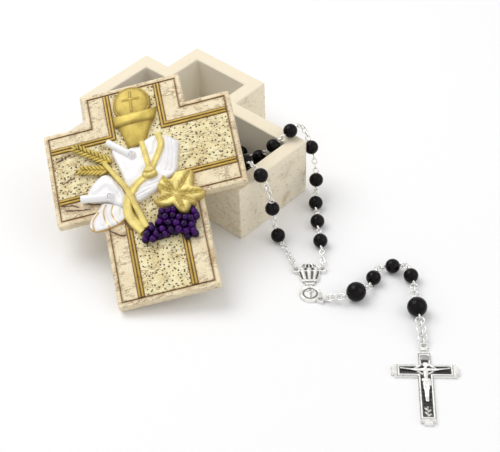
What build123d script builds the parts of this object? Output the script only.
"""Cross-shaped rosary box: open cast box, loose ornamented lid and the five-decade rosary it holds.

Millimetres. The origin is on the box's underside, below the middle of the crossing.
+X runs along the right arm, the foot of the cross points to -Y and +Z is up.
The lid leans on the box's rim with one corner on the table, and the rosary spills over
the foot end of the box, as the object is shown. The rest of the loop is coiled inside.
"""

import os
from math import cos, hypot, pi, radians, sin, tan

from build123d import *

# ---------------------------------------------------------------- the cross plan
BEAM = 43.3          # width of both beams
HEAD = 14.2          # how far each limb stands out from the crossing
ARM = 19.5
FOOT = 41.6
HALF = BEAM / 2

# ---------------------------------------------------------------- the box
BOX_HEIGHT = 28.0
WALL = 6.7
FLOOR = 6.0
OUTER_ROUND = 0.8    # upright outside corners
INNER_ROUND = 1.2    # upright corners of the cavity

# ---------------------------------------------------------------- the lid
LID_THICKNESS = 5.0
LIP_CLEARANCE = 0.8  # between the lip under the lid and the cavity wall
LIP_WIDTH = 2.2
LIP_DEPTH = 1.8
GROOVE_INSET = 3.3   # antiqued groove that frames the panels on the lid's face
GROOVE_WIDTH = 0.6
GROOVE_DEPTH = 0.5
LID_CENTRE = (-38.16, -23.44)  # where the middle of the crossing lies, seen from above
LID_YAW = -36.1      # turn about the upright, then tilt of the head end, then side tilt
LID_TILT = 24.1
LID_ROLL = -12.6
LID_LIFT_GAP = 0.06  # keeps the leaning lid off the rim and the table

# ---------------------------------------------------------------- ornament on the lid
LINE_WIDTH = 0.7     # the gold lines run in pairs
LINE_HEIGHT = 0.5
LINE_SPACING = 1.35
LINE_SIDE = 11.3     # distance of the upright pairs from the lid's centre line
LINE_UPPER = 13.0    # heights of the level pairs above and below the centre
LINE_LOWER = -11.0
HOST_RADIUS = 8.1
GRAPE_RADIUS = 1.6

# ---------------------------------------------------------------- the rosary
SMALL_BEAD = 3.0     # radius of the fifty-three small beads
LARGE_BEAD = 4.0     # radius of the six large beads
BEAD_SIDES = 10
WIRE = 0.5           # chain wire
EYE_RADIUS = 1.0     # centre line of the loop bent at each end of an eye pin
LINK_RADIUS = 1.5    # centre line of a link between two eyes
CHAIN_RADIUS = 1.7   # centre line of the links of plain chain
CORD_SIZE = 1.2      # the draped chain is a plain square tube of this size
DECADE = 10
BEADS_LEFT = 3       # small beads outside the box on the left and right branches
BEADS_RIGHT = 6
PLATE = 1.6          # thickness of the centre medal and of the cross

# The draped loop's route: left branch from the medal over the end wall into the box,
# two turns on the floor, one on top of them, and the right branch over the corner.
LEFT_BRANCH = [
    (-19.35, -90.6, 1.2),
    (-17.0, -86.6, 1.0),
    (-12.7, -78.2, 0.9),
    (-11.1, -72.8, 5.6),
    (-12.9, -72.6, 28.4),
    (-8.9, -58.6, 33.0),
    (-3.6, -47.4, 24.6),
]
COIL = [
    (-6.0, -52.2, 13.0),
    (-10.9, -46.0, 9.4),
    (-11.6, -33.5, 9.1),
    (-11.2, -21.0, 9.1),
    (-11.6, -8.5, 9.1),
    (-11.3, 3.4, 10.5),
    (-11.5, 16.0, 9.1),
    (-7.0, 24.6, 9.1),
    (4.0, 26.0, 9.1),
    (11.2, 18.5, 9.1),
    (11.5, 6.0, 9.1),
    (11.0, -6.5, 9.1),
    (11.5, -19.0, 9.1),
    (11.1, -31.5, 9.1),
    (10.8, -42.0, 9.1),
    (3.5, -47.2, 10.2),
    (-3.6, -41.5, 10.2),
    (-4.4, -29.5, 9.1),
    (-4.0, -17.0, 9.1),
    (-4.4, -4.5, 9.1),
    (-4.2, 8.0, 9.1),
    (-2.6, 16.8, 9.1),
    (3.2, 16.6, 9.1),
    (4.1, 7.0, 9.1),
    (3.6, -4.5, 9.3),
    (4.0, -17.0, 10.5),
    (3.4, -28.5, 13.2),
    (0.0, -38.5, 15.6),
    (-6.8, -42.0, 16.0),
    (-8.6, -33.0, 15.4),
    (-7.8, -20.5, 15.4),
    (-8.2, -8.0, 15.4),
    (-7.6, 4.5, 15.4),
    (-5.5, 15.5, 15.4),
    (1.8, 21.0, 15.4),
    (7.6, 13.5, 15.4),
    (8.2, 1.0, 15.4),
    (7.4, -11.5, 15.4),
    (8.0, -24.0, 15.4),
    (7.6, -36.0, 15.4),
    (8.3, -46.5, 17.0),
]
RIGHT_BRANCH = [
    (13.1, -56.9, 31.9),
    (25.3, -55.3, 31.3),
    (27.2, -57.9, 28.2),
    (22.8, -68.2, 15.5),
    (18.7, -70.7, 3.6),
    (9.9, -78.7, 3.1),
    (1.5, -87.1, 3.1),
    (-7.1, -96.3, 3.1),
    (-10.8, -99.6, 1.3),
]

# Small beads outside the box, each given by a point close to it on the route.
LEFT_BEAD_SPOTS = [(-11.9, -75.4, 3.2), (-12.0, -72.7, 17.0), (-10.9, -65.5, 30.7)]
INSIDE_FIRST_SPOT = (-6.2, -52.9, 28.8)
INSIDE_LAST_SPOT = (11.1, -52.7, 26.3)
RIGHT_BEAD_SPOTS = [
    (19.2, -56.1, 31.5),
    (25.0, -63.0, 21.8),
    (20.8, -69.4, 9.6),
    (14.3, -74.7, 3.3),
    (5.8, -82.8, 3.05),
    (-2.8, -91.7, 3.05),
]

# The pendant lies flat on the table: centre of each bead and the way its pin points.
TABLE_GAP = 0.03                   # what lies on the table clears it by this much
MEDAL_TOP = (-17.6, -97.9)         # middle of the line through the medal's two ears
MEDAL_UP = (0.74, 0.673)           # from the medal's foot to its top
PENDANT = [
    (LARGE_BEAD, (-17.3, -122.9), (0.940, -0.342)),
    (SMALL_BEAD, (-5.5, -122.6), (0.944, 0.330)),
    (SMALL_BEAD, (5.1, -124.4), (0.757, -0.653)),
    (SMALL_BEAD, (5.6, -133.6), (-0.617, -0.787)),
    (LARGE_BEAD, (-7.9, -146.9), (-0.685, -0.729)),
]
RING_HEIGHT = 2.0                  # centre of a ring that stands in an ear on the table
RING_REACH = 1.7                   # from the ear's hole to that ring's centre
EAR_HOLE = 1.05
EAR_RADIUS = 1.7
EAR_BASE = 0.85                    # an ear is a thin plate between these heights
EAR_TOP = 1.6
CROSS_HOLE = (-21.1, -160.2)       # hole in the crucifix's ear
CROSS_UP = (0.768, 0.640)          # from the foot of the crucifix to its top
CROSS_HALF_SPAN = 13.3
CROSS_TOP = 2.4                    # distances along the crucifix from its hole
CROSS_ARMS = 12.8
CROSS_LENGTH = 40.4
CROSS_BEAM = 7.4


# ================================================================ small helpers
def unit(vector):
    size = hypot(*vector)
    return tuple(part / size for part in vector)


def polygon(points, z=0.0):
    """A flat face with straight edges at height z."""
    return make_face(Polyline(*[(x, y, z) for x, y in points], close=True))


def prism(points, height, z=0.0):
    """An upright prism on a straight-edged outline."""
    return extrude(polygon(points, z), amount=height, dir=(0, 0, 1))


def smooth_prism(points, height):
    """An upright prism whose outline is one closed curve through the points."""
    outline = Spline(*[(x, y, 0) for x, y in points], periodic=True)
    return extrude(make_face(outline), amount=height, dir=(0, 0, 1))


def flat_patch(corners):
    return make_face(Polyline(*corners, close=True))


def skin(rings):
    """A solid of flat facets over a stack of rings that have the same number of corners."""
    patches = [flat_patch(rings[0]), flat_patch(rings[-1])]
    for below, above in zip(rings, rings[1:]):
        for index in range(len(below)):
            patches.append(flat_patch([below[index - 1], below[index], above[index], above[index - 1]]))
    return Solid(Shell(patches))


def polygon_ring(radius, sides, z):
    """The corners of a regular polygon at height z."""
    return [(radius * cos(2 * pi * step / sides), radius * sin(2 * pi * step / sides), z)
            for step in range(sides)]


def mesa(points, height, top_scale, centre, z=0.0):
    """A prism that narrows towards its top, like a bevelled tile."""
    top = [(centre[0] + (x - centre[0]) * top_scale, centre[1] + (y - centre[1]) * top_scale, z + height)
           for x, y in points]
    return skin([[(x, y, z) for x, y in points], top])


def bar(start, end, width, height, z=0.0):
    """A straight strip from start to end."""
    along = unit((end[0] - start[0], end[1] - start[1]))
    side = (-along[1] * width / 2, along[0] * width / 2)
    corners = [(start[0] + side[0], start[1] + side[1]), (start[0] - side[0], start[1] - side[1]),
               (end[0] - side[0], end[1] - side[1]), (end[0] + side[0], end[1] + side[1])]
    return prism(corners, height, z)


def strap(points, width, height):
    """A flat strip along a smooth line through the points."""
    line = Spline(*[(x, y, 0) for x, y in points])
    return extrude(trace(line, line_width=width), amount=height, dir=(0, 0, 1))


def cross_face(inset, z=0.0):
    """The plan of the cross, drawn in by inset all round."""
    upright = [(-HALF + inset, -HALF - FOOT + inset), (HALF - inset, -HALF - FOOT + inset),
               (HALF - inset, HALF + HEAD - inset), (-HALF + inset, HALF + HEAD - inset)]
    level = [(-HALF - ARM + inset, -HALF + inset), (HALF + ARM - inset, -HALF + inset),
             (HALF + ARM - inset, HALF - inset), (-HALF - ARM + inset, HALF - inset)]
    return (polygon(upright, z) + polygon(level, z)).clean()


def cross_block(inset, height, z=0.0):
    return extrude(cross_face(inset, z), amount=height, dir=(0, 0, 1))


def upright_edges(solid):
    return solid.edges().filter_by(Axis.Z)


def minus(shape, cutters):
    """The shape with every cutter taken off that comes near it."""
    box = shape.bounding_box()
    near = []
    for cutter in cutters:
        other = cutter.bounding_box()
        if (other.min.X < box.max.X and other.max.X > box.min.X
                and other.min.Y < box.max.Y and other.max.Y > box.min.Y):
            near.append(cutter)
    return shape - near if near else shape


def solids_of(*shapes):
    """One compound of separate solids, from solids, lists and compounds."""
    found = []
    for shape in shapes:
        if isinstance(shape, (list, tuple)):
            for item in shape:
                found.extend(item.solids())
        else:
            found.extend(shape.solids())
    return Compound(children=found)


def write(name, shape):
    solids = shape.solids()
    whole = solids[0] if len(solids) == 1 else Compound(children=list(solids))
    export_step(whole, f"parts/{name}.step")


# ================================================================ the box
def make_box_shell():
    outside = cross_block(0, BOX_HEIGHT)
    outside = fillet(upright_edges(outside), OUTER_ROUND)
    cavity = cross_block(WALL, BOX_HEIGHT, FLOOR)
    cavity = fillet(upright_edges(cavity), INNER_ROUND)
    return outside - cavity


# ================================================================ the lid
def lid_place():
    """Where the lid lies: its own face is at z = 0 and its underside below that."""
    turn = Rot(0, 0, LID_YAW) * Rot(LID_TILT, 0, 0) * Rot(0, LID_ROLL, 0)
    corner = (turn * Pos(-HALF, -HALF - FOOT, -LID_THICKNESS)).position
    return Pos(LID_CENTRE[0], LID_CENTRE[1], LID_LIFT_GAP - corner.Z) * turn


def make_lid_slab():
    slab = cross_block(0, LID_THICKNESS, -LID_THICKNESS)
    slab = fillet(upright_edges(slab), OUTER_ROUND)
    frame_groove = (cross_block(GROOVE_INSET, GROOVE_DEPTH, -GROOVE_DEPTH)
                    - cross_block(GROOVE_INSET + GROOVE_WIDTH, GROOVE_DEPTH, -GROOVE_DEPTH))
    lip_inset = WALL + LIP_CLEARANCE
    lip_base = -LID_THICKNESS - LIP_DEPTH
    lip = (cross_block(lip_inset, LIP_DEPTH, lip_base)
           - cross_block(lip_inset + LIP_WIDTH, LIP_DEPTH, lip_base))
    return slab - frame_groove + lip


def make_gold_lines():
    """Pairs of gold lines that turn the corner beside each inner angle of the cross."""
    limit = GROOVE_INSET + GROOVE_WIDTH + 0.2
    head_end = HALF + HEAD - limit
    foot_end = -HALF - FOOT + limit
    arm_end = HALF + ARM - limit
    lines = []
    for side in (-1, 1):
        for level, end in ((LINE_UPPER, head_end), (LINE_LOWER, foot_end)):
            for shift in (-LINE_SPACING / 2, LINE_SPACING / 2):
                u = side * (LINE_SIDE + shift)
                v = level + (shift if level > 0 else -shift)
                reach = LINE_WIDTH / 2 if level > 0 else -LINE_WIDTH / 2
                upright = bar((u, v - reach), (u, end), LINE_WIDTH, LINE_HEIGHT)
                flat = bar((u, v), (side * arm_end, v), LINE_WIDTH, LINE_HEIGHT)
                lines.append(upright + flat)
    return lines


def make_host():
    """The wafer: a low dome with a plain cross pressed into it."""
    profile = make_face(Polyline((0, 0), (HOST_RADIUS, 0), (HOST_RADIUS, 1.3),
                                 (HOST_RADIUS - 1.0, 2.0), (HOST_RADIUS - 2.4, 2.6),
                                 (0, 3.0), close=True))
    dome = revolve(Plane.XZ * profile, Axis.Z)
    dome = Pos(0, 25.6, 0) * dome
    mark = bar((0.2, 22.5), (0.6, 31.0), 0.8, 2.0, 2.2) + bar((-2.6, 27.6), (3.2, 27.2), 0.8, 2.0, 2.2)
    return dome - mark


def make_chalice():
    """A flared cup in half relief, with a rolled rim that dips in front of the host."""
    def half_oval(v, half_width, height):
        centre_u = -1.75 + 0.105 * (v - 7.4)
        rim = [(half_width * cos(pi * step / 10), height * sin(pi * step / 10)) for step in range(11)]
        return make_face(Polyline(*[(centre_u + across, v, up) for across, up in rim], close=True))

    bowl = loft([half_oval(5.6, 3.6, 3.0), half_oval(9.5, 4.9, 3.7), half_oval(17.0, 7.9, 4.6)],
                ruled=True)
    band = loft([half_oval(17.0, 8.6, 5.0), half_oval(20.4, 9.4, 5.2), half_oval(23.0, 9.8, 5.0)],
                ruled=True)
    mouth = Pos(0, 23.4, 0) * extrude(Ellipse(8.9, 3.2).face(), amount=9, dir=(0, 0, 1))
    return (bowl + band) - mouth


def roll(start, end, radius, rise):
    """A rolled-up edge of cloth: a round bar sunk to the lid's face."""
    length = hypot(end[0] - start[0], end[1] - start[1])
    along = unit((end[0] - start[0], end[1] - start[1]))
    lie = Plane(origin=(start[0], start[1], rise), x_dir=(0, 0, 1), z_dir=(along[0], along[1], 0))
    bar_round = extrude(lie * Circle(radius), amount=length, dir=(along[0], along[1], 0))
    below = Pos(start[0], start[1], -10) * Box(120, 120, 20)
    return bar_round - below


CLOTH_UPPER = [(-11.6, 8.4), (-5.6, 7.4), (1.0, 7.6), (4.6, 8.6), (8.6, 9.4), (13.4, 7.8),
               (15.6, 3.9), (14.6, -4.0), (12.9, -9.2), (8.0, -15.0), (2.5, -17.6),
               (-6.4, -19.3), (-9.6, -16.4), (-10.4, -8.0), (-12.4, -2.0), (-12.9, 3.5)]
CLOTH_LOWER = [(-26.6, -12.2), (-23.4, -7.0), (-17.7, -3.6), (-13.8, -6.2), (-10.0, -14.5),
               (-10.9, -20.0), (-13.6, -19.6), (-18.0, -16.2), (-23.6, -14.8)]
CLOTH_FOOT = [(-19.0, -17.0), (-12.2, -20.4), (-11.6, -25.4), (-15.4, -28.6), (-21.2, -30.4),
              (-26.4, -29.6), (-28.6, -25.4), (-24.6, -21.2)]


def make_wheat_ear(base, tip, pairs):
    """Two rows of plump grains leaning out from a straight spine."""
    along = unit((tip[0] - base[0], tip[1] - base[1]))
    side = (-along[1], along[0])
    length = hypot(tip[0] - base[0], tip[1] - base[1])
    spine = bar(base, (base[0] + along[0] * length * 0.8, base[1] + along[1] * length * 0.8), 1.4, 1.2)
    outline = [(0, 0), (1.6, 1.0), (3.2, 0.9), (4.4, 0), (3.2, -0.9), (1.6, -1.0)]
    grains = []
    for index in range(pairs):
        walk = 0.4 + index * (length - 4.6) / (pairs - 1)
        for way in (-1, 1):
            lean = radians(27) * way
            shape = []
            for x, y in outline:
                turned_x = x * cos(lean) - y * sin(lean)
                turned_y = x * sin(lean) + y * cos(lean) + way * 0.5
                shape.append((base[0] + along[0] * (walk + turned_x) + side[0] * turned_y,
                              base[1] + along[1] * (walk + turned_x) + side[1] * turned_y))
            middle = (sum(x for x, _ in shape) / 6, sum(y for _, y in shape) / 6)
            grains.append(mesa(shape, 2.0 + 0.1 * (index % 2), 0.45, middle))
    return spine + grains


LEAF_CENTRE = (11.4, -18.6)
# Tips and the notches between them, as bearing in degrees and distance from the centre.
LEAF_OUTLINE = [(108, 8.4), (92, 7.2), (84, 4.6), (72, 9.4), (58, 11.0), (46, 9.0), (36, 5.6),
                (12, 8.8), (-14, 11.4), (-30, 9.0), (-50, 4.8), (-66, 9.2), (-80, 11.6),
                (-98, 8.6), (-118, 4.8), (-136, 8.6), (-160, 10.2), (-186, 11.0), (-206, 8.4),
                (-218, 4.8), (-236, 7.8)]


def make_vine_leaf():
    points = [(LEAF_CENTRE[0] + reach * cos(radians(bearing)),
               LEAF_CENTRE[1] + reach * sin(radians(bearing))) for bearing, reach in LEAF_OUTLINE]
    blade = mesa(points, 2.6, 0.82, LEAF_CENTRE)
    for bearing, reach in ((60, 8.6), (-16, 9.0), (-82, 9.0), (-170, 8.6), (112, 6.6)):
        vein_end = (LEAF_CENTRE[0] + reach * cos(radians(bearing)),
                    LEAF_CENTRE[1] + reach * sin(radians(bearing)))
        blade = blade + bar(LEAF_CENTRE, vein_end, 0.8, 0.6, 2.5)
    return blade


# Rows of grapes: height on the lid, first grape and how many lie side by side.
GRAPE_ROWS = [(-40.0, -3.6, 2), (-40.0, 12.2, 2), (-37.2, -5.4, 7), (-34.4, -3.8, 7),
              (-31.6, 1.2, 6), (-28.8, 2.8, 1), (-28.8, 16.2, 1), (-31.6, -2.2, 1)]


def make_grape():
    """One faceted grape, flat where it is bedded on the lid."""
    rings = [(0.0, 0.84), (0.55, 1.0), (1.35, 0.86), (1.95, 0.45)]
    return skin([polygon_ring(GRAPE_RADIUS * share, 8, height * GRAPE_RADIUS) for height, share in rings])


def make_grapes(cutters):
    grape = make_grape()
    bunch = []
    for v, first, count in GRAPE_ROWS:
        for index in range(count):
            whole = Pos(first + index * 3.22, v, 0) * grape
            left = minus(whole, cutters)
            if left and left.volume > 0.5 * whole.volume:
                bunch.append(left.solids().sort_by(SortBy.VOLUME)[-1])
    return bunch


def make_lid_parts():
    """Every piece that rides on the lid, cut so that neighbours meet face to face."""
    knot = smooth_prism([(-1.6, -8.0), (0.6, -6.2), (3.2, -7.4), (5.6, -8.6), (3.6, -10.2),
                         (0.4, -10.2)], 4.2)
    strap_left = strap([(1.0, 7.4), (1.6, 1.5), (1.4, -7.6)], 2.0, 3.4)
    strap_right = strap([(6.8, 9.2), (8.0, 4.0), (5.6, -1.6), (2.4, -7.6)], 2.2, 3.4)
    stole_tail = strap([(0.6, -9.2), (-5.0, -11.6), (-9.6, -14.4), (-12.0, -20.0), (-11.4, -27.0),
                        (-6.2, -33.4)], 2.6, 3.2)
    wheat_stem = bar((-16.4, 0.6), (-4.6, -30.8), 1.9, 3.6)
    ear_upper = make_wheat_ear((-15.4, 1.2), (-29.9, 12.9), 6)
    ear_lower = make_wheat_ear((-15.8, -2.6), (-29.9, 1.0), 5)
    roll_upper = roll((-13.6, 10.4), (-5.2, 2.2), 1.9, 2.2)
    roll_lower = roll((-29.0, -12.9), (-17.2, -13.6), 2.2, 2.0)
    cloth_upper = smooth_prism(CLOTH_UPPER, 2.4)
    cloth_lower = smooth_prism(CLOTH_LOWER, 2.2)
    cloth_foot = smooth_prism(CLOTH_FOOT, 1.8)
    chalice = make_chalice()
    host = make_host()
    leaf = make_vine_leaf()

    parts = {}
    taken = []

    def seat(name, shape):
        rest = minus(shape, taken)
        parts[name] = Compound(children=[piece for piece in rest.solids() if piece.volume > 0.05])
        taken.append(shape)

    seat("stole_knot", knot)
    seat("wheat_stem", wheat_stem)
    seat("stole_straps", strap_left + strap_right)
    seat("stole_tail", stole_tail)
    seat("wheat_ear_upper", ear_upper)
    seat("wheat_ear_lower", ear_lower)
    seat("vine_leaf", leaf)
    seat("cloth_roll_upper", roll_upper)
    seat("cloth_roll_lower", roll_lower)
    seat("cloth_upper", cloth_upper)
    seat("cloth_lower", cloth_lower)
    seat("cloth_foot", cloth_foot)
    grapes = make_grapes(taken)
    parts["grapes"] = Compound(children=grapes)
    seat("chalice_cup", chalice)
    seat("host", host)
    taken.extend(grapes)
    lines = []
    for line in make_gold_lines():
        lines.extend(piece for piece in minus(line, taken).solids() if piece.volume > 0.05)
    parts["gold_lines"] = Compound(children=lines)
    parts["lid_slab"] = make_lid_slab()
    return parts


# ================================================================ the rosary loop
def route():
    """The loop's centre line: straight runs joined by arcs as large as the runs allow."""
    points = [Vector(*point) for point in LEFT_BRANCH + COIL + RIGHT_BRANCH]
    radii = []
    for before, here, after in zip(points, points[1:], points[2:]):
        turn = radians((here - before).get_angle(after - here))
        shorter = min((here - before).length, (after - here).length)
        radii.append(0.45 * shorter / tan(turn / 2))
    print("loop radii from", round(min(radii), 1), "to", round(max(radii), 1))
    return FilletPolyline(*points, radius=radii)


def sample(line, count=1000):
    """Points along the line with their shares of its length."""
    return [(index / count, line @ (index / count)) for index in range(count + 1)]


def nearest_share(samples, spot):
    """How far along the line, from 0 to 1, the sample closest to the spot lies."""
    target = Vector(*spot)
    return min(samples, key=lambda entry: (entry[1] - target).length)[0]


def make_ball(radius):
    """A ball of flat facets around its own +Z axis."""
    return skin([polygon_ring(radius * cos(radians(latitude)), BEAD_SIDES, radius * sin(radians(latitude)))
                 for latitude in (-72, -36, 0, 36, 72)])


def loop_beads(line):
    """Beads of the loop by group: left outside, inside small, inside large, right outside."""
    small, large = make_ball(SMALL_BEAD), make_ball(LARGE_BEAD)

    def threaded(ball, share):
        spot = line @ share
        heading = line % share
        side = Vector(0, 0, 1).cross(heading)
        return Plane(origin=spot, x_dir=side, z_dir=heading).location * ball

    samples = sample(line)
    left = [threaded(small, nearest_share(samples, spot)) for spot in LEFT_BEAD_SPOTS]
    right = [threaded(small, nearest_share(samples, spot)) for spot in RIGHT_BEAD_SPOTS]
    first = nearest_share(samples, INSIDE_FIRST_SPOT)
    last = nearest_share(samples, INSIDE_LAST_SPOT)
    total = 5 * DECADE + 4 - BEADS_LEFT - BEADS_RIGHT
    inside_small, inside_large = [], []
    for index in range(total):
        share = first + (last - first) * index / (total - 1)
        is_large = (index + BEADS_LEFT) % (DECADE + 1) == DECADE
        group, ball = (inside_large, large) if is_large else (inside_small, small)
        group.append(threaded(ball, share))
    print("loop length", round(line.length, 1), "inside pitch",
          round((last - first) * line.length / (total - 1), 2),
          "small", len(left) + len(right) + len(inside_small), "large", len(inside_large))
    return left, inside_small, inside_large, right


def make_loop_chain(line):
    section = Plane(origin=line @ 0, z_dir=line % 0) * Rectangle(CORD_SIZE, CORD_SIZE)
    chain = sweep(section, path=line)
    print("chain volume", round(chain.volume, 1), "against", round(CORD_SIZE ** 2 * line.length, 1))
    return chain


# ================================================================ medal and pendant
def frame_at(centre, up, z):
    """A plane lying flat at height z: its y axis points along up."""
    return Plane(origin=(centre[0], centre[1], z), x_dir=(up[1], -up[0], 0), z_dir=(0, 0, 1))


def ring(radius, centre, heading, upright):
    """A closed link of twelve flats around its centre, lying along its heading or standing."""
    outline = (RegularPolygon(radius=radius + WIRE / 2, side_count=12)
               - RegularPolygon(radius=radius - WIRE / 2, side_count=12))
    link = Pos(0, 0, -WIRE / 2) * extrude(outline, amount=WIRE)
    ahead = Vector(heading).normalized()
    across = Vector(ahead.Y, -ahead.X, 0).normalized()
    normal = across if upright else across.cross(ahead)
    return Plane(origin=centre, x_dir=ahead, z_dir=normal).location * link


def eye_reach(radius):
    """From a bead's centre to the centre of the loop at its pin's end."""
    return radius + EYE_RADIUS + WIRE / 2 + 0.1


def eye_centre(entry, way):
    radius, centre, heading = entry
    reach = eye_reach(radius) * way
    return (centre[0] + heading[0] * reach, centre[1] + heading[1] * reach, radius + TABLE_GAP)


def pendant_bead(entry):
    """A bored bead and the eye pin through it: the pin's two loops stand upright."""
    radius, centre, heading = entry
    axis = Plane(origin=(centre[0], centre[1], radius + TABLE_GAP), x_dir=(0, 0, 1),
                 z_dir=(heading[0], heading[1], 0)).location
    bore = extrude(RegularPolygon(radius=WIRE / 2 + 0.15, side_count=6), amount=2.2 * radius)
    bead = axis * (make_ball(radius) - Pos(0, 0, -1.1 * radius) * bore)
    shank_length = 2 * (eye_reach(radius) - EYE_RADIUS)
    shank = Pos(0, 0, -shank_length / 2) * extrude(RegularPolygon(radius=WIRE / 2, side_count=6),
                                                   amount=shank_length)
    eyes = [ring(EYE_RADIUS, eye_centre(entry, way), (heading[0], heading[1], 0), True) for way in (-1, 1)]
    return bead, axis * shank + eyes


def chain_links(start, end, steps, first_upright, radius):
    """Links on the straight line from start to end, flat and upright by turns."""
    start, end = Vector(*start), Vector(*end)
    heading = end - start
    links, walked = [], 0
    for index, step in enumerate(steps[:-1]):
        walked += step
        centre = start + heading * (walked / sum(steps))
        links.append(ring(radius, centre, heading, first_upright == (index % 2 == 0)))
    print("links", len(links), "on", round(heading.length, 2), "wanted", round(sum(steps), 2))
    return links


MEDAL_FOOT_HOLE = (4.05, -17.6)    # in the medal's own frame
EAR = (5.5, 0.0)


def make_medal():
    """Centre medal: scroll, tapering cup, stem and oval disc, with three pierced ears."""
    cup = prism([(-4.9, 1.2), (4.9, 1.2), (4.9, -0.4), (3.6, -3.0), (2.4, -6.2), (-2.4, -6.2), (-3.6, -3.0),
                 (-4.9, -0.4)], PLATE)
    scroll = mesa([(-2.8, 1.0), (2.8, 1.0), (3.3, 2.9), (-3.3, 2.9)], PLATE, 0.9, (0, 2.0))
    stem = prism([(-2.4, -6.2), (2.4, -6.2), (1.3, -7.8), (1.3, -9.0), (2.0, -10.4), (-2.0, -10.4),
                  (-1.3, -9.0), (-1.3, -7.8)], PLATE)
    oval = extrude(Pos(0, -14.0) * Ellipse(4.6, 4.5).face(), amount=PLATE - 0.3)
    rim = extrude((Pos(0, -14.0) * Ellipse(4.6, 4.5).face()) - (Pos(0, -14.0) * Ellipse(3.7, 3.6).face()),
                  amount=PLATE + 0.1)
    medal = cup + scroll + stem + oval + rim
    cup_panel = prism([(-3.0, -0.2), (3.0, -0.2), (2.6, -3.0), (1.7, -5.2), (-1.7, -5.2), (-2.6, -3.0)],
                      1.0, PLATE - 0.4)
    medal = medal - cup_panel
    medal = medal + mesa([(-1.7, -0.9), (1.7, -0.9), (0.9, -4.6), (-0.9, -4.6)], 0.7, 0.6, (0, -2.4), PLATE - 0.4)
    ears = [(-EAR[0], EAR[1]), EAR, MEDAL_FOOT_HOLE]
    medal = medal + [make_ear(spot) for spot in ears]
    bore = Pos(0, 0, -1) * extrude(RegularPolygon(radius=EAR_HOLE, side_count=12), amount=6)
    return medal - [Pos(*spot, 0) * bore for spot in ears]


def make_ear(spot):
    """The thin plate round a pierced ear's hole."""
    plate = extrude(RegularPolygon(radius=EAR_RADIUS, side_count=12), amount=EAR_TOP - EAR_BASE)
    return Pos(spot[0], spot[1], EAR_BASE) * plate


def make_cross():
    """Crucifix cross with stepped ends, a raised border and a loop at the top."""
    half = CROSS_BEAM / 2
    arms = -CROSS_ARMS

    def beams(inset, top, bottom, span):
        upright = prism([(-half + inset, bottom), (half - inset, bottom),
                         (half - inset, top), (-half + inset, top)], PLATE)
        level = prism([(-span, arms - half + inset), (span, arms - half + inset),
                       (span, arms + half - inset), (-span, arms + half - inset)], PLATE)
        return upright + level

    top, bottom = -CROSS_TOP - 1.2, -CROSS_LENGTH + 1.2
    body = beams(0, top, bottom, CROSS_HALF_SPAN - 1.2)
    body = body + beams(1.1, -CROSS_TOP, -CROSS_LENGTH, CROSS_HALF_SPAN)
    border = 1.3
    panels = (prism([(-half + border, bottom + border), (half - border, bottom + border),
                     (half - border, top - border), (-half + border, top - border)], 1.0)
              + prism([(-CROSS_HALF_SPAN + 2.4, arms - half + border), (CROSS_HALF_SPAN - 2.4, arms - half + border),
                       (CROSS_HALF_SPAN - 2.4, arms + half - border), (-CROSS_HALF_SPAN + 2.4, arms + half - border)],
                      1.0))
    body = body - Pos(0, 0, PLATE - 0.5) * panels
    neck = prism([(-1.0, -1.3), (1.0, -1.3), (1.0, -CROSS_TOP - 1.3), (-1.0, -CROSS_TOP - 1.3)],
                 EAR_TOP - EAR_BASE, EAR_BASE)
    hole = Pos(0, 0, -1) * extrude(RegularPolygon(radius=EAR_HOLE, side_count=12), amount=4)
    return body + neck + make_ear((0, 0)) - hole


def make_corpus():
    """The figure in low relief: arms spread, head bowed, legs together."""
    floor_z = PLATE - 0.5
    arms = -CROSS_ARMS
    torso = mesa([(-1.9, arms + 0.2), (1.9, arms + 0.2), (1.3, arms - 6.0), (-1.3, arms - 6.0)], 1.7, 0.62,
                 (0, arms - 2.9), floor_z)
    cloth = mesa([(-1.6, arms - 5.6), (1.6, arms - 5.6), (1.9, arms - 9.0), (-1.7, arms - 9.0)], 1.9, 0.7,
                 (0, arms - 7.3), floor_z)
    legs = mesa([(-1.3, arms - 8.6), (1.4, arms - 8.6), (0.7, arms - 16.2), (-0.6, arms - 16.2)], 1.5, 0.55,
                (0, arms - 12.0), floor_z)
    feet = mesa([(-0.9, arms - 15.6), (0.9, arms - 15.6), (0.6, arms - 18.2), (-0.6, arms - 18.2)], 1.2, 0.6,
                (0, arms - 16.9), floor_z)
    figure = torso + cloth + legs + feet
    for side in (-1, 1):
        shoulder, hand = (side * 1.1, arms - 0.4), (side * 9.4, arms + 1.0)
        points = [(shoulder[0], shoulder[1] - 0.75), (hand[0], hand[1] - 0.5),
                  (hand[0], hand[1] + 0.5), (shoulder[0], shoulder[1] + 0.75)]
        figure = figure + mesa(points, 1.2, 0.72, ((shoulder[0] + hand[0]) / 2, (shoulder[1] + hand[1]) / 2), floor_z)
    head = [(1.35 * cos(radians(45 * step)), arms + 1.9 + 1.6 * sin(radians(45 * step))) for step in range(8)]
    return figure + mesa(head, 2.0, 0.6, (0, arms + 1.9), floor_z)


def make_titulus():
    """The bare plaque above the head."""
    return mesa([(-2.1, -7.9), (2.1, -7.9), (2.1, -5.4), (-2.1, -5.4)], 0.8, 0.86, (0, -6.6), PLATE - 0.5)


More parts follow.
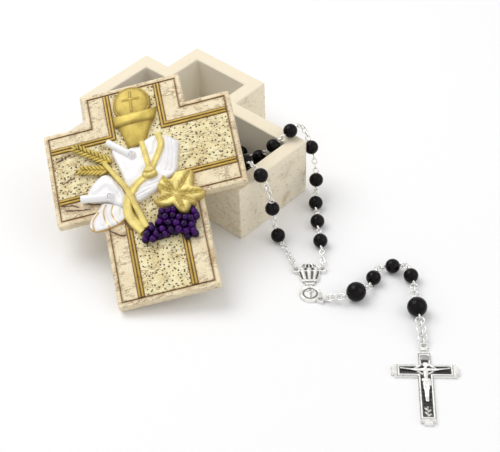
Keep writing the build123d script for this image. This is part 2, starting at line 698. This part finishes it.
# ================================================================ everything
def main():
    os.makedirs("parts", exist_ok=True)
    write("box_shell", make_box_shell())

    place = lid_place()
    for name, shape in make_lid_parts().items():
        write(name, place * shape)

    line = route()
    write("loop_chain", make_loop_chain(line))
    left, inside_small, inside_large, right = loop_beads(line)
    write("small_beads_left", solids_of(left))
    write("small_beads_right", solids_of(right))
    write("small_beads_inside", solids_of(inside_small))
    write("large_beads_inside", solids_of(inside_large))

    medal_frame = frame_at(MEDAL_TOP, MEDAL_UP, TABLE_GAP).location
    write("centre_medal", medal_frame * make_medal())
    ear_left, ear_right, ear_foot = [(medal_frame * Pos(*spot, 0)).position
                                     for spot in ((-EAR[0], EAR[1]), EAR, MEDAL_FOOT_HOLE)]
    ear_rings = []
    for ear, tail in ((ear_left, line @ 0), (ear_right, line @ 1)):
        heading = Vector(tail.X - ear.X, tail.Y - ear.Y, 0).normalized()
        centre = (ear.X + heading.X * RING_REACH, ear.Y + heading.Y * RING_REACH, RING_HEIGHT)
        ear_rings.append(ring(CHAIN_RADIUS, centre, (heading.X, heading.Y, 0), True))
        print("ear to chain end", round(hypot(tail.X - ear.X, tail.Y - ear.Y), 2))
    write("medal_rings", solids_of(ear_rings))

    names = ["large_bead_upper", "small_bead_1", "small_bead_2", "small_bead_3", "large_bead_lower"]
    pins = []
    for name, entry in zip(names, PENDANT):
        bead, pin = pendant_bead(entry)
        write(name, bead)
        pins.append(pin)
    write("eye_pins_upper", solids_of(pins[:4]))
    write("eye_pin_lower", pins[4])

    foot_ring = (ear_foot.X, ear_foot.Y, RING_HEIGHT - 0.35)
    write("chain_upper", solids_of(chain_links(foot_ring, eye_centre(PENDANT[0], -1),
                                               (RING_REACH, 2.35, 2.2, 2.2, 1.6), True, CHAIN_RADIUS)))
    bead_links = []
    for before, after in zip(PENDANT[:3], PENDANT[1:4]):
        start, end = Vector(*eye_centre(before, 1)), Vector(*eye_centre(after, -1))
        ahead, behind = Vector(*before[2], 0) * EYE_RADIUS, Vector(*after[2], 0) * EYE_RADIUS
        centre = (start + ahead + end - behind) * 0.5
        bead_links.append(ring(LINK_RADIUS, centre, end - start, False))
    tail_links = chain_links(eye_centre(PENDANT[3], 1), eye_centre(PENDANT[4], -1), (2.0, 2.67, 2.67, 2.0),
                             False, 1.8)
    write("bead_links", solids_of(bead_links, tail_links[:1]))
    ring_spot = (CROSS_HOLE[0] + CROSS_UP[0] * RING_REACH, CROSS_HOLE[1] + CROSS_UP[1] * RING_REACH,
                 RING_HEIGHT)
    lower = chain_links(eye_centre(PENDANT[4], 1), ring_spot, (1.8, 1.98, 1.98, 1.98, 1.98, 1.98), False,
                        CHAIN_RADIUS)
    write("chain_lower", solids_of(tail_links[1:], lower))
    write("cross_ring", ring(CHAIN_RADIUS, ring_spot, (CROSS_UP[0], CROSS_UP[1], 0), True))

    cross_frame = frame_at(CROSS_HOLE, CROSS_UP, TABLE_GAP).location
    write("crucifix_cross", cross_frame * make_cross())
    write("corpus", cross_frame * make_corpus())
    write("titulus", cross_frame * make_titulus())


main()
